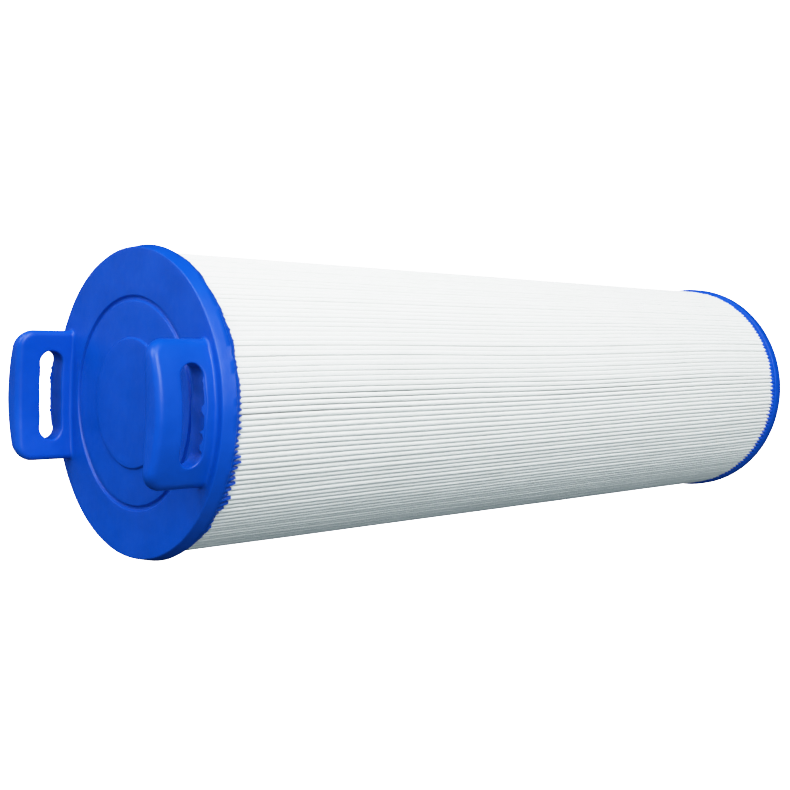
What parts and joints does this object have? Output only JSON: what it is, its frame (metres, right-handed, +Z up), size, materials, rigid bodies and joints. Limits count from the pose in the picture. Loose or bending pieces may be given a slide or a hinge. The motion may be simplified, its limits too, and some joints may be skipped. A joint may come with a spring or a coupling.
{
  "type": "filter cartridge",
  "caption": "Long pleated spa filter cartridge with cast end caps, an open lower end and loop handles on the closed top cap.",
  "frame": {"origin": "centre of the bottom cap's seating face", "axes": "+Z up the cartridge's axis towards the handles, +X through the middle of one handle"},
  "size_m": [0.1254, 0.1254, 0.4314],
  "materials": {
    "end_cap": "cast polyurethane, saturated blue, softly glossy",
    "media": "white spunbond polyester, fine random fibre",
    "seam": "pale amber hot-melt",
    "core": "moulded polypropylene, off-white"
  },
  "bodies": {
    "root": {"top_cap": "end_cap", "bottom_cap": "end_cap", "pleated_media": "media", "media_seam": "seam", "core_section_1": "core", "core_section_2": "core", "core_section_3": "core", "core_section_4": "core", "core_plug": "core"}
  },
  "joints": []
}
